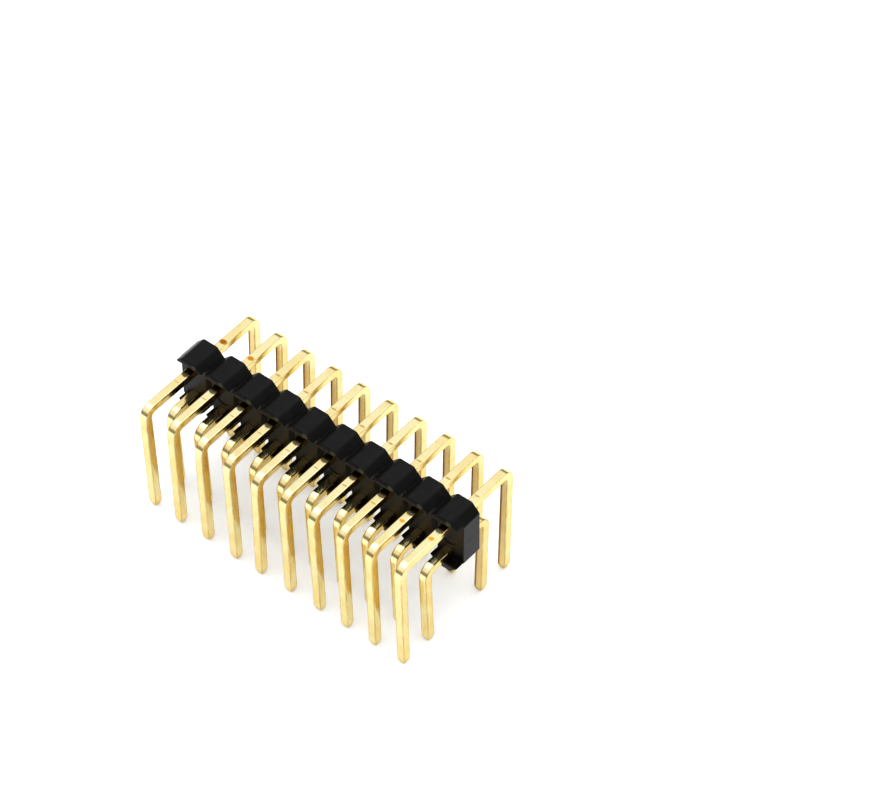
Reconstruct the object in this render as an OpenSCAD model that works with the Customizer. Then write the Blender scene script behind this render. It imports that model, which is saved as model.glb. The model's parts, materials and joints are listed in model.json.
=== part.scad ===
// Two-row pin header strip with legs bent down on both sides.
// The housing lies on its side: ten columns of cells along X, two pin rows one above
// the other. Every contact is one square wire that runs through the housing along Y
// and turns down at both ends, so that all leg tips end on the plane Z = 0.
// The short contacts of the lower row stand inside the tall ones of the upper row.

/* [Strip] */
// Number of columns along the strip
columns = 10; // [2:1:25]
// Distance from one column to the next
pitch = 2.54; // [2.2:0.01:4]
// Height from the lower pin row to the upper one
row_gap = 2.54; // [2:0.01:4]

/* [Contact wire] */
// Width of the square wire across its flats
wire = 0.64; // [0.4:0.02:0.8]
// Inner radius of each bend
bend_r = 0.35; // [0.2:0.05:1]
// Length of the tapered tip
tip_len = 0.4; // [0.2:0.05:0.8]
// Width of the small flat that is left at the end of a tip
tip_flat = 0.3; // [0.1:0.02:0.36]

/* [Legs] */
// Distance between the two tips of a tall contact
tall_span = 10.98; // [8:0.02:16]
// Distance between the two tips of a short contact
short_span = 5.72; // [4.2:0.02:6.6]
// Height of the lower pin row's axis over the tips
low_axis_h = 7.28; // [5:0.05:12]
// Inward lean of each leg of a tall contact, in degrees
tall_lean = 1.5; // [0:0.25:3]
// Inward lean of each leg of a short contact, in degrees
short_lean = 2.25; // [0:0.25:3]

/* [Housing] */
// Wall of the housing above the upper pins and below the lower ones
cover = 0.95; // [0.8:0.01:1.4]
// Thickness of the housing along the pins
body_t = 2.4; // [1.6:0.05:3]
// Depth of the long recess round the pins on the back
recess_d = 0.65; // [0.3:0.05:1]
// Height of the ledges that stand above and below the recess
ledge_h = 0.6; // [0.3:0.01:0.75]
// Width of a corner bevel along the strip
bevel_w = 0.66; // [0.4:0.02:0.9]
// Height of a corner bevel
bevel_h = 0.7; // [0.4:0.02:0.9]
// Play between a pin and its square hole
hole_play = 0; // [0:0.01:0.1]

/* [Break lines] */
// Width of the groove in the recess wall where two cells can be snapped apart
break_w = 0.58; // [0.2:0.02:0.8]
// Depth of that groove
break_d = 0.28; // [0.1:0.01:0.4]

/* [Ejector marks] */
// Diameter of a round ejector mark in the recess
eject_d = 1.3; // [0.6:0.05:1.4]
// Depth of an ejector mark
eject_depth = 0.06; // [0.02:0.01:0.15]
// Columns from one ejector mark to the next
eject_step = 4; // [2:1:8]

/* [Hidden] */
$fn = 48;

// How far a cutting body runs past the face that it opens
over = 1;
// Length of the strip and the place of its ends
length = columns * pitch;
end_x = length / 2;
// Axes of the two pin rows
high_axis_h = low_axis_h + row_gap;
// Bottom, top and middle height of the housing
body_z0 = low_axis_h - wire / 2 - cover;
body_z1 = high_axis_h + wire / 2 + cover;
mid_z = (body_z0 + body_z1) / 2;
// Rear and front of the housing, and the wall behind the recess
back_y = -body_t / 2;
front_y = body_t / 2;
web_y = back_y + recess_d;
// Radius of a bend at the middle of the wire
bend_mid_r = bend_r + wire / 2;
hole_w = wire + 2 * hole_play;

// Rounds a worked-out place to a tenth of a micrometre, so that pieces which meet
// there are given the very same number
function snap(v) = round(v * 10000) / 10000;

// Middle of column i, counted from 1
function column_x(i) = (i - (columns + 1) / 2) * pitch;

// Upper edge of one cell that starts at x, as heights below the flat top
function cell_edge(x) = [
    [x, bevel_h],
    [x + bevel_w, 0],
    [x + pitch - bevel_w, 0]];

// The edge of the whole strip from one end to the other
strip_edge = concat(
    [for (i = [0:columns - 1]) each cell_edge(i * pitch - end_x)],
    [[end_x, bevel_h]]);

// Outline of the strip, seen along the pins
module strip_outline() {
    top = [for (p = strip_edge) [p[0], body_z1 - p[1]]];
    low = [for (i = [len(strip_edge) - 1:-1:0])
        [strip_edge[i][0], body_z0 + strip_edge[i][1]]];
    polygon(concat(top, low));
}

// Raises a drawing in X and Z into a body that runs from y0 to y1
module along_y(y0, y1) {
    translate([0, y1, 0]) rotate([90, 0, 0]) linear_extrude(y1 - y0) children();
}

// Raises a drawing in Y and Z into a body of width w centred on X
module along_x(w) {
    rotate([90, 0, 90]) linear_extrude(w, center = true) children();
}

// Long recess on the back, open at both ends, between the two ledges
module recess() {
    translate([-end_x - over, back_y - over, body_z0 + ledge_h])
        cube([length + 2 * over, recess_d + over, body_z1 - body_z0 - 2 * ledge_h]);
}

// Upright groove in the recess wall between each two cells
module break_grooves() {
    for (i = [1:columns - 1])
        translate([i * pitch - end_x, web_y, body_z0 + ledge_h])
            linear_extrude(body_z1 - body_z0 - 2 * ledge_h)
                polygon([
                    [-break_w / 2, -break_d],
                    [-break_w / 2, 0],
                    [0, break_d],
                    [break_w / 2, 0],
                    [break_w / 2, -break_d]]);
}

// Square holes that hold the pins
module pin_holes() {
    for (i = [1:columns], z = [low_axis_h, high_axis_h])
        translate([column_x(i), 0, z])
            cube([hole_w, body_t + 2 * over, hole_w], center = true);
}

// Shallow round marks left by the mould's ejectors, between the pin rows
module ejector_marks() {
    for (i = [2:eject_step:columns])
        translate([column_x(i), web_y + eject_depth, mid_z])
            rotate([90, 0, 0]) cylinder(d = eject_d, h = eject_depth + over);
}

// One moulded block of joined cells
module housing() {
    color("#2b2b2d") difference() {
        along_y(back_y, front_y) strip_outline();
        recess();
        break_grooves();
        pin_holes();
        ejector_marks();
    }
}

// Side view of the bar between the bends. Each end runs to a point inside its bend.
module bar_side(end_y, axis_h) {
    polygon([
        [end_y, axis_h + wire / 2],
        [end_y + wire / 4, axis_h],
        [end_y, axis_h - wire / 2],
        [-end_y, axis_h - wire / 2],
        [-end_y - wire / 4, axis_h],
        [-end_y, axis_h + wire / 2]]);
}

// Side view of one leg, from the end of its bend at height top down to the tip.
// Its middle is at top_y under the bend and at tip_y on the ground, and its upper end
// runs to a point inside the bend.
module leg_side(top_y, tip_y, top) {
    knee_y = tip_y + (top_y - tip_y) * tip_len / top;
    polygon([
        [top_y, top + wire / 4],
        [top_y + wire / 2, top],
        [knee_y + wire / 2, tip_len],
        [tip_y + tip_flat / 2, 0],
        [tip_y - tip_flat / 2, 0],
        [knee_y - wire / 2, tip_len],
        [top_y - wire / 2, top]]);
}

// Front view of one leg, which gives the tip its other two tapers
module leg_front(top) {
    polygon([
        [-wire / 2, top],
        [-wire / 2, tip_len],
        [-tip_flat / 2, 0],
        [tip_flat / 2, 0],
        [wire / 2, tip_len],
        [wire / 2, top]]);
}

// Contact bent from square wire, open downwards
module contact(span, axis_h, lean) {
    bend_z = snap(axis_h - bend_mid_r);
    leg_y = snap(span / 2 + bend_z * tan(lean));
    bend_y = snap(leg_y - bend_mid_r);
    along_x(wire) bar_side(bend_y, axis_h);
    for (side = [0, 1]) mirror([0, side, 0]) {
        translate([0, bend_y, bend_z]) rotate([90, 0, 90]) rotate_extrude(angle = 90)
            translate([bend_r, -wire / 2]) square(wire);
        intersection() {
            along_x(wire) leg_side(leg_y, span / 2, bend_z);
            along_y(0, span) leg_front(axis_h);
        }
    }
}

// Tall contact of the upper row in column i
module upper_pin(i) {
    color("#dcc878") translate([column_x(i), 0, 0])
        contact(tall_span, high_axis_h, tall_lean);
}

// Short contact of the lower row in column i
module lower_pin(i) {
    color("#dcc878") translate([column_x(i), 0, 0])
        contact(short_span, low_axis_h, short_lean);
}

housing();
for (i = [1:columns]) {
    upper_pin(i);
    lower_pin(i);
}
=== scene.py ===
"""Finish of a two-row pin header strip: bright gold contacts in a charcoal housing.

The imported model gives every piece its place. The housing is a copy of its solid with
rounded edges, and each contact is swept along its own bent wire.
"""

import json
import math

import bmesh
import bpy
from bpy.props import (
    FloatProperty,
    FloatVectorProperty,
    IntProperty,
    PointerProperty,
)
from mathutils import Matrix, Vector

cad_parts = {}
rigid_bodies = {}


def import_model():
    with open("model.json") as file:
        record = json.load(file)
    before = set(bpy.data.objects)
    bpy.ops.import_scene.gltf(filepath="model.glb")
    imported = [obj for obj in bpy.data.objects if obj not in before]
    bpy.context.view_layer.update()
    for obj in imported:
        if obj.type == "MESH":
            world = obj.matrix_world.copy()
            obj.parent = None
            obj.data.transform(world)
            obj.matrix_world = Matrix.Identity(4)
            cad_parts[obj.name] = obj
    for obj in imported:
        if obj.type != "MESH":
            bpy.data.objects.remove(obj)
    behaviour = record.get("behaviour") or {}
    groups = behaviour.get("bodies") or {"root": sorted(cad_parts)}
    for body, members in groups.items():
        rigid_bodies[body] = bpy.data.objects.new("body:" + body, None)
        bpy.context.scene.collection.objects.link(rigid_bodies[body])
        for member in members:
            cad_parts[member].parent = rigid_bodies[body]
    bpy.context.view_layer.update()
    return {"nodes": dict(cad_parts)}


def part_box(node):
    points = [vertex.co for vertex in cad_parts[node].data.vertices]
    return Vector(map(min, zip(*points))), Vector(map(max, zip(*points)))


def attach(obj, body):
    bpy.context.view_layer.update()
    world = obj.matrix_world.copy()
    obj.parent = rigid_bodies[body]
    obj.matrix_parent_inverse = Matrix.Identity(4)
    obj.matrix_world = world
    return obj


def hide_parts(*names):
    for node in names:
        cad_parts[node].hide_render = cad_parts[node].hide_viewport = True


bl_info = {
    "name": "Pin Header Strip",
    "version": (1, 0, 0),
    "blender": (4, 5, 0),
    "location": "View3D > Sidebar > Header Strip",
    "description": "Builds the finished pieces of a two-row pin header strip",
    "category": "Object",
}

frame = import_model()

MM = 0.001
BODY = "root"
CONTACT_SLOT = "gold_plating"
HOUSING_SLOT = "housing_plastic"
COLUMNS = sum(1 for name in frame["nodes"] if name.startswith("upper_pin_"))


def node_centre(node):
    """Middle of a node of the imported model."""
    low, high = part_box(node)
    return (Vector(low) + Vector(high)) / 2


def column_x(column):
    """Place of a column along the strip, from its packed contact."""
    return node_centre(f"upper_pin_{column}").x


def top_of(node):
    """Height of a node's highest point."""
    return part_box(node)[1][2]


# In the lists that follow, the rear legs are those on the recessed side of the housing
# (-Y), the front legs those on its plain side (+Y), and the columns run from 1 to 10.

# Slight bends of the single legs, in millimetres at the tip: how far it stands along the
# strip and outwards from its true place
REAR_TIP_SWAY = [
    (0.03, -0.06), (0, 0), (0, 0), (0.16, 0.09), (-0.13, 0.04),
    (0, 0), (0.12, 0), (0.04, 0), (0, 0), (0, 0),
]
FRONT_TIP_SWAY = [(0, 0)] * COLUMNS
STRAIGHT = [(0, 0)] * COLUMNS
# How strongly the pressed mark on top of each tall contact shows
REAR_MARKS = [0.3, 0.35, 0.3, 0.35, 0.35, 0.4, 0.45, 0.55, 0.95, 1.0]
FRONT_MARKS = [1.35, 1.2, 0.75, 0.75, 0.72, 0.75, 0.7, 0.7, 0.74, 0.6]
UNMARKED = [0.0] * COLUMNS
# How strongly the sides of each leg carry the painted dark reflection, in brown
REAR_SIDE_SHADE = [0.8] * (COLUMNS - 1) + [0.2]
FRONT_SIDE_SHADE = [0.08] * COLUMNS
SHORT_SIDE_SHADE = [0.7] * (COLUMNS - 1) + [0.2]


class ContactSettings(bpy.types.PropertyGroup):
    """Sizes and finish of the bent wire contacts."""

    wire: FloatProperty(
        name="Wire",
        description="Width of the square wire",
        default=0.64 * MM,
        unit="LENGTH",
    )
    edge_round: FloatProperty(
        name="Edge rounding",
        description="Radius of the wire's long edges",
        default=0.055 * MM,
        unit="LENGTH",
    )
    bend_radius: FloatProperty(
        name="Bend radius",
        description="Radius of a bend at the middle of the wire",
        default=0.67 * MM,
        unit="LENGTH",
    )
    tall_span: FloatProperty(
        name="Tall span",
        description="Distance between the tips of a tall contact",
        default=10.98 * MM,
        unit="LENGTH",
    )
    short_span: FloatProperty(
        name="Short span",
        description="Distance between the tips of a short contact",
        default=5.72 * MM,
        unit="LENGTH",
    )
    tall_lean: FloatProperty(
        name="Tall lean",
        description="Inward lean of the legs of a tall contact",
        default=math.radians(1.5),
        subtype="ANGLE",
    )
    short_lean: FloatProperty(
        name="Short lean",
        description="Inward lean of the legs of a short contact",
        default=math.radians(2.25),
        subtype="ANGLE",
    )
    bend_steps: IntProperty(
        name="Bend steps", description="Faces along each bend", default=20, min=4
    )
    mark_place: FloatProperty(
        name="Mark place",
        description="Distance of a pressed mark from the middle of the bar",
        default=2.46 * MM,
        unit="LENGTH",
    )
    mark_size: FloatProperty(
        name="Mark size",
        description="Width of a pressed mark",
        default=0.48 * MM,
        unit="LENGTH",
    )
    streak_height: FloatProperty(
        name="Streak height",
        description="Height up to which the legs show streaks from bending",
        default=9.4 * MM,
        unit="LENGTH",
    )
    gold: FloatVectorProperty(
        name="Gold",
        description="Colour of the plating",
        subtype="COLOR",
        size=3,
        default=(0.89, 0.80, 0.45),
    )
    worn_gold: FloatVectorProperty(
        name="Worn gold",
        description="Deeper colour where the plating is rubbed or pressed",
        subtype="COLOR",
        size=3,
        default=(0.86, 0.64, 0.24),
    )
    edge_gold: FloatVectorProperty(
        name="Glancing gold",
        description="Tint of the plating at a glancing angle",
        subtype="COLOR",
        size=3,
        default=(0.90, 0.70, 0.34),
    )
    # Painted dark reflection on the sides of the legs, and painted shade on their inner
    # faces
    stained_gold: FloatVectorProperty(
        name="Side shade gold",
        description="Brownish colour on the sides of the legs",
        subtype="COLOR",
        size=3,
        default=(0.70, 0.47, 0.17),
    )
    # Used along the wire's edges, for the drawing streaks, and as painted contact shadow
    # at the tips
    dull_gold: FloatVectorProperty(
        name="Dull gold",
        description="Colour along the wire's edges and at its cut ends",
        subtype="COLOR",
        size=3,
        default=(0.52, 0.36, 0.11),
    )
    pressed_gold: FloatVectorProperty(
        name="Pressed gold",
        description="Colour in a deep pressed mark",
        subtype="COLOR",
        size=3,
        default=(0.86, 0.33, 0.012),
    )
    line_brown: FloatVectorProperty(
        name="Line brown",
        description="Colour of the dark line along the inner side of each leg",
        subtype="COLOR",
        size=3,
        default=(0.20, 0.09, 0.025),
    )
    burnt_gold: FloatVectorProperty(
        name="Burnt gold",
        description="Colour in the deepest pressed marks",
        subtype="COLOR",
        size=3,
        default=(0.34, 0.11, 0.004),
    )
    # Painted reflection: the warm tone of the bars' tops where they mirror the housing's
    # wall
    rooted_gold: FloatVectorProperty(
        name="Root reflection gold",
        description="Warm colour where the bars leave the back of the housing",
        subtype="COLOR",
        size=3,
        default=(0.86, 0.48, 0.14),
    )


class HousingSettings(bpy.types.PropertyGroup):
    """Edges and finish of the moulded housing."""

    edge_round: FloatProperty(
        name="Edge rounding",
        description="Rounding of the edges that run along the pins",
        default=0.22 * MM,
        unit="LENGTH",
    )
    rim_share: FloatProperty(
        name="Rim share",
        description="Rounding of all other edges, as a share of the edge rounding",
        default=0.22,
        subtype="FACTOR",
    )
    plastic: FloatVectorProperty(
        name="Plastic",
        description="Colour of the filled plastic",
        subtype="COLOR",
        size=3,
        default=(0.0024, 0.0024, 0.0027),
    )
    broken_plastic: FloatVectorProperty(
        name="Broken plastic",
        description="Paler colour where the strip was snapped off",
        subtype="COLOR",
        size=3,
        default=(0.0055, 0.0055, 0.006),
    )
    # Painted reflection: a pale spot on the ledge's face above each contact, where it
    # mirrors the contact's top
    rubbed_plastic: FloatVectorProperty(
        name="Glint plastic",
        description="Paler colour where a contact rubbed the ledge as it was pressed in",
        subtype="COLOR",
        size=3,
        default=(0.042, 0.045, 0.027),
    )


class StageSettings(bpy.types.PropertyGroup):
    """Camera, floor and light."""

    camera_place: FloatVectorProperty(
        name="Camera place",
        description="Where the camera stands",
        subtype="TRANSLATION",
        size=3,
        default=(0.129283, -0.145145, 0.225104),
    )
    camera_turn: FloatVectorProperty(
        name="Camera turn",
        description="Turn of the camera",
        subtype="EULER",
        size=3,
        default=(math.radians(42.605), math.radians(0.119), math.radians(39.108)),
    )
    camera_lens: FloatProperty(
        name="Lens", description="Focal length in millimetres", default=170.2
    )
    floor_size: FloatProperty(
        name="Floor size", description="Width of the floor", default=3.0, unit="LENGTH"
    )
    floor_colour: FloatVectorProperty(
        name="Floor colour",
        description="Colour of the floor",
        subtype="COLOR",
        size=3,
        default=(0.83, 0.86, 0.90),
    )
    floor_glow: FloatProperty(
        name="Floor glow",
        description="Light that the camera and reflections see the floor give off",
        default=0.32,
    )
    horizon_colour: FloatVectorProperty(
        name="Horizon colour",
        description="Colour of the light at the horizon",
        subtype="COLOR",
        size=3,
        default=(1.0, 0.86, 0.60),
    )
    sky_level: FloatProperty(
        name="Sky level", description="Strength of the light all round", default=1.09
    )
    zenith_level: FloatProperty(
        name="Zenith level", description="Strength of the light overhead", default=2.3
    )
    horizon_level: FloatProperty(
        name="Horizon level",
        description="Strength of the light at the horizon",
        default=0.34,
    )


class Sum:
    """A shader socket that can be used in ordinary sums."""

    def __init__(self, shader, socket):
        self.shader = shader
        self.socket = socket

    def _math(self, operation, *values):
        return self.shader.node("ShaderNodeMath", {"operation": operation}, *values)

    def __add__(self, other):
        return self._math("ADD", self, other)

    def __radd__(self, other):
        return self._math("ADD", other, self)

    def __sub__(self, other):
        return self._math("SUBTRACT", self, other)

    def __rsub__(self, other):
        return self._math("SUBTRACT", other, self)

    def __mul__(self, other):
        return self._math("MULTIPLY", self, other)

    def __rmul__(self, other):
        return self._math("MULTIPLY", other, self)

    def __truediv__(self, other):
        return self._math("DIVIDE", self, other)

    def fraction(self):
        """Value less its whole part."""
        return self._math("FRACT", self)

    def largest(self, other):
        """The larger one of two values."""
        return self._math("MAXIMUM", self, other)

    def abs(self):
        """Value without its sign."""
        return self._math("ABSOLUTE", self)

    def fade(self, start, end):
        """1 below start, 0 above end, and a smooth step between them."""
        return self.shader.node(
            "ShaderNodeMapRange",
            {"interpolation_type": "SMOOTHSTEP"},
            self, start, end, 1.0, 0.0,
        )


class Shader:
    """A new material or world with nodes, and one method that adds them."""

    def __init__(self, owner):
        self.owner = owner
        owner.use_nodes = True
        self.tree = owner.node_tree
        self.tree.nodes.clear()

    def node(self, kind, settings=None, *values, output=0, **named):
        """Adds a node and returns one of its outputs."""
        made = self.tree.nodes.new(kind)
        for name, value in (settings or {}).items():
            setattr(made, name, value)
        for index, value in enumerate(values):
            self.put(made.inputs[index], value)
        for name, value in named.items():
            self.put(made.inputs[name.replace("_", " ")], value)
        return Sum(self, made.outputs[output]) if len(made.outputs) else None

    def put(self, socket, value):
        """Links a socket, or sets its value."""
        if isinstance(value, Sum):
            self.tree.links.new(value.socket, socket)
        elif value is not None:
            socket.default_value = value

    def mix_colour(self, factor, first, second):
        """Blends two colours."""
        made = self.tree.nodes.new("ShaderNodeMix")
        made.data_type = "RGBA"
        inputs = {socket.identifier: socket for socket in made.inputs}
        self.put(inputs["Factor_Float"], factor)
        self.put(inputs["A_Color"], first)
        self.put(inputs["B_Color"], second)
        outputs = {socket.identifier: socket for socket in made.outputs}
        return Sum(self, outputs["Result_Color"])

    def split(self, place):
        """The three values of a vector."""
        return [
            self.node("ShaderNodeSeparateXYZ", None, place, output=axis)
            for axis in range(3)
        ]

    def attribute(self, name):
        """A value that is stored on the piece's points."""
        return self.node("ShaderNodeAttribute", {"attribute_name": name}, output="Fac")

    def noise(self, place, size, detail=2.0, roughness=0.5):
        """Even noise whose features are about the given size in metres."""
        return self.node(
            "ShaderNodeTexNoise", None,
            Vector=place, Scale=1.0 / size, Detail=detail, Roughness=roughness,
        )


WHITE = (1.0, 1.0, 1.0, 1.0)
BLACK = (0.0, 0.0, 0.0, 1.0)


def rgba(colour):
    """A colour with full alpha."""
    return (*colour, 1.0)


# Sizes of the noise on the gold, and how a drawing line is stretched along the wire
PATCH_SIZE = 1.6 * MM
SPECK_SIZE = 0.22 * MM
DRAWN_SIZE = 0.2 * MM
DRAWN_ALONG = 0.2
DRAWN_ACROSS = 5.0
# How near a point is to a flat face that counts as on it, and how far off is off it
ON_FLAT = 0.01 * MM
OFF_FLAT = 0.03 * MM
# Values of the noise between which each kind of wear, the painted side shade and the
# edge darkening fade out
PATCH_FADE = 0.38, 0.56
SPECK_FADE = 0.36, 0.48
STREAK_FADE = 0.34, 0.56
EDGE_FADE = 0.38, 0.62
SIDE_SHADE_FADE = 0.40, 0.60
# The pressed mark: its shift along the strip, its shape, how far a weak one narrows to a
# dash, the strengths between which it appears, brightens and burns, and its soft rim
MARK_SHIFT = 0.02 * MM
MARK_LENGTH = 0.9
MARK_WIDTH = 1.6
MARK_DASH = 12.0
MARK_SEEN = 0.0, 0.5
MARK_BRIGHT = 0.7, 0.95
MARK_BURNT = 1.0, 1.4
MARK_RIM = 0.35, 1.25
# Depths under the top of a tall bar between which its marks end
TOP_FADE = -0.10 * MM, -0.03 * MM
# Distances along the pins (Y) between which the painted warm reflection at a root ends
ROOT_FADE = -1.75 * MM, -1.40 * MM
FRONT_FADE = -0.4 * MM, 0.0
# The painted dark reflection on a leg's side: height of its foot, how steeply the foot
# rises inwards, how ragged it is and how softly it ends
SIDE_SHADE_FOOT = 2.4 * MM
SIDE_SHADE_RISE = 4.0
SIDE_SHADE_RAGGED = 2.0 * MM
SIDE_SHADE_SOFT = 0.25 * MM
# Heights between which the painted contact shadow at a tip fades, and the place of the
# line on the inner face, across the wire
TIP_SHADE_FADE = 0.04 * MM, 0.30 * MM
LINE_FADE = 0.13 * MM, 0.24 * MM
LINE_WAVE = 0.1 * MM


class WirePlace:
    """Where a point lies on its contact, and the noise at that point."""

    def __init__(self, shader):
        place = shader.node("ShaderNodeTexCoord", output="Object")
        self.x, self.y, self.height = shader.split(place)
        self.middle = shader.attribute("middle")
        self.side = shader.attribute("side")
        self.outward = shader.attribute("outward")
        self.cloud = shader.noise(place, PATCH_SIZE, detail=3.0)
        self.speck = shader.noise(place, SPECK_SIZE)
        combine = "ShaderNodeCombineXYZ"
        along = shader.attribute("along") * DRAWN_ALONG
        section = self.side * DRAWN_ACROSS, self.outward * DRAWN_ACROSS
        stretched = shader.node(combine, None, along, *section)
        apart = shader.node(combine, None, 0.0, self.middle, 0.0)
        add = "ShaderNodeVectorMath", {"operation": "ADD"}
        self.drawn = shader.noise(shader.node(*add, stretched, apart), DRAWN_SIZE)


def pressed_mark(shader, look, wire):
    """Share and colour of the mark that is pressed into the top of a tall bar."""
    top = top_of("upper_pin_1")
    strength = shader.attribute("mark")
    deep = 1.0 - strength.fade(*MARK_BURNT)
    off_x = wire.x - wire.middle - MARK_SHIFT
    off_y = wire.y.abs() - look.mark_place
    narrow = MARK_WIDTH + (1.0 - strength).largest(0.0) * MARK_DASH
    reach = off_x * off_x * MARK_LENGTH + off_y * off_y * narrow
    reach = reach * (1.0 - deep * 0.5) / (look.mark_size / 2) ** 2
    on_top = 1.0 - (wire.height - top).fade(*TOP_FADE)
    share = on_top * reach.fade(*MARK_RIM) * (1.0 - strength.fade(*MARK_SEEN))
    tone = shader.mix_colour(
        strength.fade(*MARK_BRIGHT), rgba(look.pressed_gold), rgba(look.dull_gold)
    )
    return share, shader.mix_colour(deep, tone, rgba(look.burnt_gold))


def near_root(wire):
    """1 on a rear bar where it leaves the housing, 0 further out and at the front."""
    far = wire.y.fade(*ROOT_FADE)
    front = 1.0 - wire.y.fade(*FRONT_FADE)
    return 1.0 - (far + front)


def painted_side_shade(shader, look, wire, leg, inner):
    """Share of brown on the sides of the legs and on their inner faces: painted dark
    reflection and painted shade.
    """
    half = look.wire / 2
    on_side = 1.0 - wire.side.abs().fade(half - OFF_FLAT, half - ON_FLAT)
    ragged = (wire.drawn - 0.5) * SIDE_SHADE_RAGGED
    foot = SIDE_SHADE_FOOT + (wire.outward + half) * SIDE_SHADE_RISE + ragged
    above = 1.0 - (wire.height - foot).fade(-SIDE_SHADE_SOFT, SIDE_SHADE_SOFT)
    uneven = 0.35 + leg * 0.4 + wire.drawn.fade(*SIDE_SHADE_FADE) * 0.25
    on_sides = on_side * above * uneven * shader.attribute("stain")
    return on_sides.largest(inner * (0.3 + wire.speck * 0.5))


def gold_material(look):
    """Bright thin gold over drawn square wire, with marks, dull edges and painted shade:
    dark reflections on the legs' sides, a warm reflection at the roots and contact
    shadow at the tips.
    """
    shader = Shader(bpy.data.materials.new("Gold plating"))
    wire = WirePlace(shader)
    leg = wire.height.fade(look.streak_height - MM, look.streak_height)
    inner = wire.outward.fade(ON_FLAT - look.wire / 2, OFF_FLAT - look.wire / 2) * leg

    wear = wire.cloud.fade(*PATCH_FADE) * 0.45 + wire.speck.fade(*SPECK_FADE) * 0.25
    pressed, mark_tone = pressed_mark(shader, look, wire)
    # Darker along the wire's long edges, more on the legs and unevenly along them
    edge = 1.0 - shader.attribute("edge").fade(0.40, 1.0)
    edge_darkening = 0.08 + leg * 0.22 + wire.drawn.fade(*EDGE_FADE) * (0.2 + leg * 0.4)
    # Painted contact shadow: dull brown at the foot of each tip, which is also rougher
    # there
    shaded_tip = wire.height.fade(*TIP_SHADE_FADE) * 0.7
    streak = wire.drawn.fade(*STREAK_FADE) * leg * 0.28
    line = 1.0 - (wire.side + wire.cloud * LINE_WAVE).fade(*LINE_FADE)
    colour = rgba(look.gold)
    for share, tone in (
        (wear, rgba(look.worn_gold)),
        (pressed, mark_tone),
        # Painted reflection of the housing's wall, warm on the rear bars near their
        # roots
        (near_root(wire) * 0.5, rgba(look.rooted_gold)),
        # Painted dark reflection on the legs' sides and painted shade on their inner
        # faces
        (painted_side_shade(shader, look, wire, leg, inner), rgba(look.stained_gold)),
        ((edge * edge_darkening).largest(shaded_tip).largest(streak), rgba(look.dull_gold)),
        (inner * line * 0.9, rgba(look.line_brown)),
    ):
        colour = shader.mix_colour(share, colour, tone)

    rough = 0.08 + (wire.speck + wire.drawn) * 0.04 + (pressed + shaded_tip) * 0.2
    relief = (wire.drawn + wire.cloud) * 0.5 - pressed * 1.5
    bump = shader.node(
        "ShaderNodeBump", None, Strength=0.12, Distance=0.03 * MM, Height=relief
    )
    surface = shader.node(
        "ShaderNodeBsdfPrincipled", None,
        Base_Color=colour, Metallic=1.0, Roughness=rough, Normal=bump,
        Specular_Tint=rgba(look.edge_gold),
    )
    shader.node("ShaderNodeOutputMaterial", None, surface)
    return shader.owner


# Sizes of the noise on the plastic
GRAIN_SIZE = 0.05 * MM
FLOW_SIZE = 0.9 * MM
# Places and half sizes of the scar on the end face (Y and Z) and of the painted
# reflections of the contacts on the ledge (along the strip from the column, and Z), and
# the distances over which they fade
SCAR_PLACE = 0.14 * MM, 8.66 * MM
SCAR_REACH = 0.45 * MM, 0.22 * MM
GLINT_PLACE = 0.47 * MM, 10.78 * MM
GLINT_REACH = 0.26 * MM, 0.24 * MM
SCAR_RIM = 0.5, 1.9
GLINT_RIM = 0.2, 1.3


def spot(first, second, place, reach):
    """Squared distance from a place, in shares of the reach each way."""
    first = (first - place[0]) / reach[0]
    second = (second - place[1]) / reach[1]
    return first * first + second * second


def plastic_material(look):
    """Charcoal filled plastic with a fine matt grain, a snapped end and small painted
    reflections of the contacts on the ledge.
    """
    shader = Shader(bpy.data.materials.new("Housing plastic"))
    place = shader.node("ShaderNodeTexCoord", output="Object")
    x, y, height = shader.split(place)
    grain = shader.noise(place, GRAIN_SIZE)
    flow = shader.noise(place, FLOW_SIZE, detail=3.0)
    (_, back_y, _), (end_x, _, _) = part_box("housing")

    on_end = 1.0 - x.fade(end_x - OFF_FLAT, end_x - ON_FLAT)
    scar = (spot(y, height, SCAR_PLACE, SCAR_REACH) + grain).fade(*SCAR_RIM)
    scar = scar * on_end * 0.3
    tone = flow.fade(0.7, 0.4) * 0.5 * (1.0 - scar)
    colour = shader.mix_colour(tone, rgba(look.plastic), rgba(look.broken_plastic))

    pitch = column_x(2) - column_x(1)
    off_column = (((x - column_x(1)) / pitch + 0.5).fraction() - 0.5) * pitch
    on_back = y.fade(back_y + ON_FLAT, back_y + OFF_FLAT)
    # Painted reflection of each contact's top in the ledge's face, above the contact
    glint = spot(off_column, height, GLINT_PLACE, GLINT_REACH) + flow * 1.6 - 0.8
    colour = shader.mix_colour(
        glint.fade(*GLINT_RIM) * on_back, colour, rgba(look.rubbed_plastic)
    )

    rough = 0.26 + flow * 0.10 + grain * 0.08 + scar * 0.25
    bump = shader.node(
        "ShaderNodeBump", None, Strength=0.25, Distance=0.01 * MM, Height=grain
    )
    surface = shader.node(
        "ShaderNodeBsdfPrincipled", None,
        Base_Color=colour, Roughness=rough, Specular_IOR_Level=0.10, Normal=bump,
    )
    shader.node("ShaderNodeOutputMaterial", None, surface)
    return shader.owner


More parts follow.
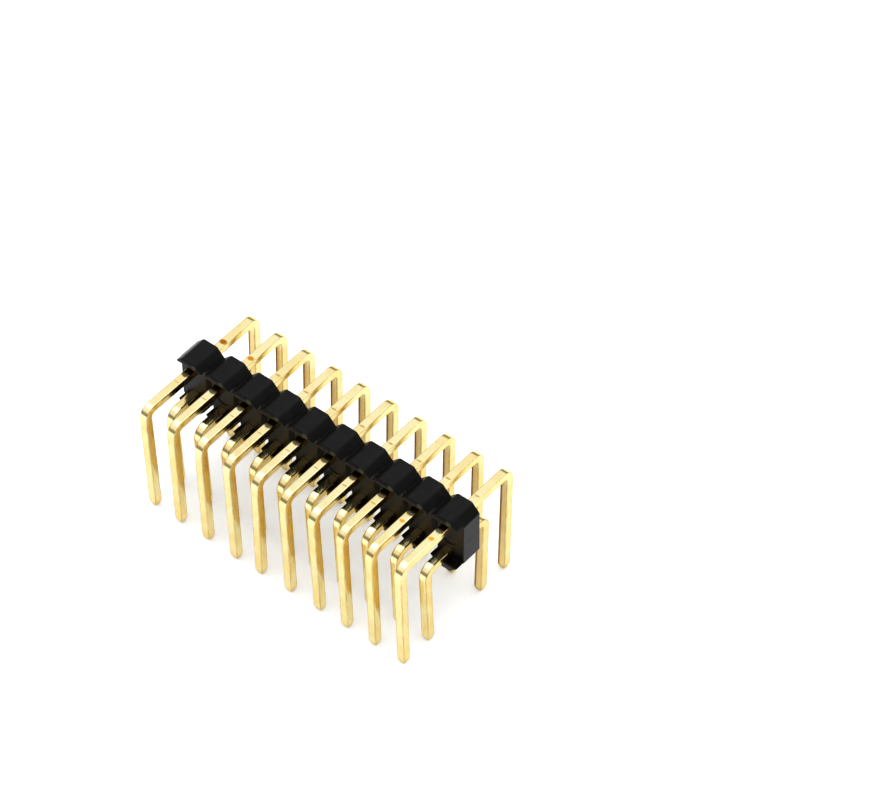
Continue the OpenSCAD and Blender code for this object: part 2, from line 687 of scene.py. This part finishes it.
def floor_material(stage):
    """Pale floor that keeps a shadow and shows white where nothing shades it."""
    shader = Shader(bpy.data.materials.new("Pale floor"))
    camera, glossy, transmitted = (
        shader.node("ShaderNodeLightPath", output=name)
        for name in ("Is Camera Ray", "Is Glossy Ray", "Is Transmission Ray")
    )
    seen = camera.largest(glossy).largest(transmitted)
    surface = shader.node(
        "ShaderNodeBsdfPrincipled", None,
        Base_Color=rgba(stage.floor_colour), Roughness=0.9,
        Emission_Color=shader.mix_colour(seen, BLACK, WHITE),
        Emission_Strength=stage.floor_glow,
    )
    shader.node("ShaderNodeOutputMaterial", None, surface)
    return shader.owner


# Heights on the sky's unit sphere between which its low and its middle part end
LOW_SKY = 0.32, 0.56
HIGH_SKY = 0.79, 0.88


def soft_world(stage):
    """White light all round that dims at the horizon and is strongest overhead."""
    shader = Shader(bpy.data.worlds.new("Soft light"))
    way = shader.node("ShaderNodeTexCoord", output="Generated")
    height = shader.split(way)[2]
    low = height.fade(*LOW_SKY)
    high = 1.0 - height.fade(*HIGH_SKY)
    dimming = low * (stage.sky_level - stage.horizon_level)
    brightening = high * (stage.zenith_level - stage.sky_level)
    sky = shader.node(
        "ShaderNodeBackground", None,
        Color=shader.mix_colour(low, WHITE, rgba(stage.horizon_colour)),
        Strength=stage.sky_level - dimming + brightening,
    )
    shader.node("ShaderNodeOutputWorld", None, sky)
    return shader.owner


class Tree:
    """A geometry node tree with named inputs."""

    def __init__(self, name, inputs):
        self.tree = bpy.data.node_groups.new(name, "GeometryNodeTree")
        face = self.tree.interface
        face.new_socket("Geometry", in_out="OUTPUT", socket_type="NodeSocketGeometry")
        face.new_socket("Geometry", in_out="INPUT", socket_type="NodeSocketGeometry")
        self.ids = {}
        for label, kind in inputs:
            item = face.new_socket(label, in_out="INPUT", socket_type=kind)
            self.ids[label] = item.identifier
        self.start = self.tree.nodes.new("NodeGroupInput")
        self.end = self.tree.nodes.new("NodeGroupOutput")

    def given(self, label):
        """Output of the group input with that name."""
        return self.start.outputs[label]

    def node(self, kind, settings=None, output=0, **named):
        """Adds a node, sets or links its inputs and returns one of its outputs."""
        made = self.tree.nodes.new(kind)
        for name, value in (settings or {}).items():
            setattr(made, name, value)
        for name, value in named.items():
            socket = made.inputs[name.replace("_", " ")]
            if isinstance(value, bpy.types.NodeSocket):
                self.tree.links.new(value, socket)
            else:
                socket.default_value = value
        return made.outputs[output]

    def maths(self, operation, first, second):
        """Result of a sum of two values."""
        made = self.tree.nodes.new("ShaderNodeMath")
        made.operation = operation
        for socket, value in zip(made.inputs, (first, second)):
            if isinstance(value, bpy.types.NodeSocket):
                self.tree.links.new(value, socket)
            else:
                socket.default_value = value
        return made.outputs[0]

    def attribute(self, name, data_type="FLOAT"):
        """A value that is stored on the points."""
        return self.node(
            "GeometryNodeInputNamedAttribute", {"data_type": data_type}, Name=name
        )

    def store(self, geometry, name, value):
        """Stores a value on the points for later nodes and for the material."""
        return self.node(
            "GeometryNodeStoreNamedAttribute", {"data_type": "FLOAT", "domain": "POINT"},
            Geometry=geometry, Name=name, Value=value,
        )

    def close(self, geometry, material):
        """Ends the tree in Realize Instances and Set Material."""
        real = self.node("GeometryNodeRealizeInstances", Geometry=geometry)
        dressed = self.node("GeometryNodeSetMaterial", Geometry=real, Material=material)
        self.tree.links.new(dressed, self.end.inputs["Geometry"])

    def plain_mesh(self, base, name, values):
        """Runs the tree on a base object and returns the result as a plain mesh."""
        modifier = base.modifiers.new("Tree", "NODES")
        modifier.node_group = self.tree
        for label, value in values.items():
            modifier[self.ids[label]] = value
        base.modifiers.new("Weighted", "WEIGHTED_NORMAL")
        bpy.context.view_layer.update()
        seen = base.evaluated_get(bpy.context.evaluated_depsgraph_get())
        mesh = bpy.data.meshes.new_from_object(seen)
        mesh.name = name
        piece = bpy.data.objects.new(name, mesh)
        bpy.context.scene.collection.objects.link(piece)
        bpy.data.objects.remove(base)
        return piece


# Points between the corners of the wire's section, faces round each rounded edge, and
# the least turn in radians that counts as a bend
FACE_CUTS = 3
EDGE_STEPS = 4.0
LEAST_TURN = 0.1


def wire_tree(material):
    """Tree that sweeps a square wire with rounded edges along a bent line."""
    made = Tree("Bent square wire", [
        ("Wire Width", "NodeSocketFloat"),
        ("Edge Rounding", "NodeSocketFloat"),
        ("Bend Radius", "NodeSocketFloat"),
        ("Bend Steps", "NodeSocketInt"),
    ])
    line = made.node("GeometryNodeMeshToCurve", Mesh=made.given("Geometry"))
    corner = made.attribute("corner")
    bent = made.node(
        "GeometryNodeFilletCurve", {"mode": "POLY"},
        Curve=line,
        Count=made.maths("MULTIPLY", corner, made.given("Bend Steps")),
        Radius=made.maths("MULTIPLY", corner, made.given("Bend Radius")),
    )
    walked = made.node("GeometryNodeSplineParameter", output="Length")
    bent = made.store(bent, "along", walked)
    square = made.node(
        "GeometryNodeCurvePrimitiveQuadrilateral", {"mode": "RECTANGLE"},
        Width=made.given("Wire Width"), Height=made.given("Wire Width"),
    )
    # Every fourth point of the divided square is a corner. Only these are rounded, and
    # what is stored there fades towards the middle of each face.
    square = made.node("GeometryNodeSubdivideCurve", Curve=square, Cuts=FACE_CUTS)
    step = made.maths(
        "MODULO", made.node("GeometryNodeInputIndex"), FACE_CUTS + 1.0
    )
    square = made.store(square, "edge", made.maths("LESS_THAN", step, 0.5))
    flag = made.attribute("edge")
    section = made.node(
        "GeometryNodeFilletCurve", {"mode": "POLY"},
        Curve=square,
        Count=made.maths("MULTIPLY", flag, EDGE_STEPS),
        Radius=made.maths("MULTIPLY", flag, made.given("Edge Rounding")),
    )
    place = made.node("GeometryNodeInputPosition")
    for name, axis in (("side", "X"), ("outward", "Y")):
        value = made.node("ShaderNodeSeparateXYZ", output=axis, Vector=place)
        section = made.store(section, name, value)
    swept = made.node(
        "GeometryNodeCurveToMesh",
        Curve=bent, Profile_Curve=section, Scale=made.attribute("girth"), Fill_Caps=True,
    )
    swayed = made.node(
        "GeometryNodeSetPosition",
        Geometry=swept, Offset=made.attribute("sway", "FLOAT_VECTOR"),
    )
    made.close(swayed, material)
    return made


# Heights over a tip's end, and the wire's girth there as a share of its full width
TIP_SHAPE = [
    (0.0 * MM, 0.44),
    (0.03 * MM, 0.57),
    (0.11 * MM, 0.70),
    (0.23 * MM, 0.84),
    (0.36 * MM, 0.95),
    (0.50 * MM, 1.0),
]


def contact_line(look, x, span, lean, axis_h, sways, marks, side_shades):
    """Middle line of one contact, as points with their girth, sway, mark and painted
    side shade.
    """
    corner_y = span / 2 + axis_h * math.tan(lean)
    points = []
    for side, sway, mark, stain in zip((-1, 1), sways, marks, side_shades):
        tip = Vector((x, side * span / 2, 0.0))
        corner = Vector((x, side * corner_y, axis_h))
        inside = Vector((x, side * look.wire, axis_h))
        leg = corner - tip
        swayed = Vector((sway[0], side * sway[1], 0.0)) * MM
        half = [
            (tip + leg * (step / leg.z), girth, swayed * (1 - step / leg.z))
            for step, girth in TIP_SHAPE
        ]
        half += [(corner, 1.0, Vector()), (inside, 1.0, Vector())]
        half = [(*point, mark, stain) for point in half]
        points += half if side < 0 else half[::-1]
    return points


def line_object(points):
    """An object whose mesh is one line of edges with values at each point."""
    mesh = bpy.data.meshes.new("Line")
    edges = [(i, i + 1) for i in range(len(points) - 1)]
    places, girths, sways, marks, side_shades = zip(*points)
    mesh.from_pydata(places, edges, [])
    steps = [second - first for first, second in zip(places, places[1:])]
    bends = [float(a.angle(b) > LEAST_TURN) for a, b in zip(steps, steps[1:])]
    turns = [0.0, *bends, 0.0]
    middles = [places[0].x] * len(places)
    for name, values in (
        ("girth", girths), ("mark", marks), ("stain", side_shades),
        ("middle", middles), ("corner", turns),
    ):
        mesh.attributes.new(name, "FLOAT", "POINT").data.foreach_set("value", values)
    spread = [value for sway in sways for value in sway]
    sway = mesh.attributes.new("sway", "FLOAT_VECTOR", "POINT")
    sway.data.foreach_set("vector", spread)
    made = bpy.data.objects.new("Line", mesh)
    bpy.context.scene.collection.objects.link(made)
    return made


def smooth(piece):
    """Shades a piece smooth, which its weighted normals keep flat on the flats."""
    piece.data.polygons.foreach_set("use_smooth", [True] * len(piece.data.polygons))


def seat(piece, slot, *nodes):
    """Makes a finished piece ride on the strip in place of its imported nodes."""
    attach(piece, BODY)
    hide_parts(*nodes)


class HEADER_OT_contacts(bpy.types.Operator):
    """Sweep every tall and short contact along its bent wire."""

    bl_idname = "header.contacts"
    bl_label = "Build contacts"

    def execute(self, context):
        look = context.scene.header_contacts
        tree = wire_tree(gold_material(look))
        sizes = {
            "Wire Width": look.wire,
            "Edge Rounding": look.edge_round,
            "Bend Radius": look.bend_radius,
            "Bend Steps": look.bend_steps,
        }
        tall = (
            (REAR_TIP_SWAY, FRONT_TIP_SWAY), (REAR_MARKS, FRONT_MARKS),
            (REAR_SIDE_SHADE, FRONT_SIDE_SHADE),
        )
        short = (STRAIGHT, STRAIGHT), (UNMARKED, UNMARKED), (SHORT_SIDE_SHADE, SHORT_SIDE_SHADE)
        rows = (
            ("upper", "tall", look.tall_span, look.tall_lean, *tall),
            ("lower", "short", look.short_span, look.short_lean, *short),
        )
        for row, kind, span, lean, sways, marks, side_shades in rows:
            for column in range(1, COLUMNS + 1):
                node = f"{row}_pin_{column}"
                axis_h = top_of(node) - look.wire / 2
                at_legs = (
                    [leg[column - 1] for leg in values]
                    for values in (sways, marks, side_shades)
                )
                points = contact_line(
                    look, column_x(column), span, lean, axis_h, *at_legs
                )
                name = f"{kind}_contact_{column}"
                piece = tree.plain_mesh(line_object(points), name, sizes)
                seat(piece, CONTACT_SLOT, node)
        return {"FINISHED"}


# Copying the solid's loose triangles: how near two corners are one, and the angles below
# which two faces are one flat and from which an edge is sharp
SAME_POINT = 0.0005 * MM
FLAT_ANGLE = math.radians(0.5)
SHARP_ANGLE = math.radians(20)
# Least length of an edge that runs through the whole housing along the pins, and the
# length below which an edge belongs to a round mark
THROUGH_LENGTH = 2.0 * MM
MARK_EDGE_LENGTH = 0.1 * MM


def weigh_edges(shape, rim_share):
    """Stores how much each sharp edge of the housing is rounded."""
    weight = shape.edges.layers.float.new("bevel_weight_edge")
    for edge in shape.edges:
        if not edge.is_manifold or edge.calc_face_angle() < SHARP_ANGLE:
            continue
        way = edge.verts[1].co - edge.verts[0].co
        if abs(way.y) > THROUGH_LENGTH:
            edge[weight] = 1.0
        elif way.length > MARK_EDGE_LENGTH:
            edge[weight] = rim_share
        else:
            edge[weight] = rim_share / 3


class HEADER_OT_housing(bpy.types.Operator):
    """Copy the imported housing, round its edges and give it its plastic."""

    bl_idname = "header.housing"
    bl_label = "Build housing"

    def execute(self, context):
        look = context.scene.header_housing
        mesh = frame["nodes"]["housing"].data.copy()
        piece = bpy.data.objects.new("moulded_housing", mesh)
        context.scene.collection.objects.link(piece)
        shape = bmesh.new()
        shape.from_mesh(piece.data)
        bmesh.ops.remove_doubles(shape, verts=shape.verts, dist=SAME_POINT)
        bmesh.ops.dissolve_limit(
            shape, angle_limit=FLAT_ANGLE, verts=shape.verts, edges=shape.edges
        )
        weigh_edges(shape, look.rim_share)
        shape.to_mesh(piece.data)
        shape.free()
        bevel = piece.modifiers.new("Rounded edges", "BEVEL")
        bevel.width = look.edge_round
        bevel.segments = 4
        bevel.limit_method = "WEIGHT"
        bevel.use_clamp_overlap = False
        smooth(piece)
        piece.modifiers.new("Weighted", "WEIGHTED_NORMAL")
        piece.data.materials.clear()
        piece.data.materials.append(plastic_material(look))
        seat(piece, HOUSING_SLOT, "housing")
        return {"FINISHED"}


class HEADER_OT_stage(bpy.types.Operator):
    """Set up the camera, the pale floor and the soft light."""

    bl_idname = "header.stage"
    bl_label = "Build stage"

    def execute(self, context):
        stage = context.scene.header_stage
        scene = context.scene
        scene.view_settings.view_transform = "Standard"

        camera = bpy.data.cameras.new("Camera")
        camera.sensor_width = 36.0
        camera.lens = stage.camera_lens
        camera.clip_start = 0.01
        camera.clip_end = 20.0
        eye = bpy.data.objects.new("Camera", camera)
        eye.location = stage.camera_place
        eye.rotation_euler = stage.camera_turn
        scene.collection.objects.link(eye)
        scene.camera = eye

        half = stage.floor_size / 2
        mesh = bpy.data.meshes.new("Floor")
        mesh.from_pydata(
            [(-half, -half, 0), (half, -half, 0), (half, half, 0), (-half, half, 0)],
            [], [(0, 1, 2, 3)],
        )
        floor = bpy.data.objects.new("Floor", mesh)
        floor.data.materials.append(floor_material(stage))
        scene.collection.objects.link(floor)

        scene.world = soft_world(stage)
        return {"FINISHED"}


class HEADER_PT_panel(bpy.types.Panel):
    """Shows a button for each step that builds the strip."""

    bl_label = "Header Strip"
    bl_idname = "HEADER_PT_panel"
    bl_space_type = "VIEW_3D"
    bl_region_type = "UI"
    bl_category = "Header Strip"

    def draw(self, context):
        for step in STEPS:
            self.layout.operator(step.bl_idname)


STEPS = (HEADER_OT_stage, HEADER_OT_housing, HEADER_OT_contacts)
SETTINGS = {
    "header_contacts": ContactSettings,
    "header_housing": HousingSettings,
    "header_stage": StageSettings,
}
CLASSES = (*SETTINGS.values(), *STEPS, HEADER_PT_panel)


def register():
    """Registers the classes and their settings."""
    for item in CLASSES:
        bpy.utils.register_class(item)
    for name, group in SETTINGS.items():
        setattr(bpy.types.Scene, name, PointerProperty(type=group))


def unregister():
    """Removes the settings and the classes."""
    for name in SETTINGS:
        delattr(bpy.types.Scene, name)
    for item in reversed(CLASSES):
        bpy.utils.unregister_class(item)


def main():
    """Builds the stage and every piece."""
    register()
    bpy.ops.header.stage()
    bpy.ops.header.housing()
    bpy.ops.header.contacts()


if __name__ == "__main__":
    main()
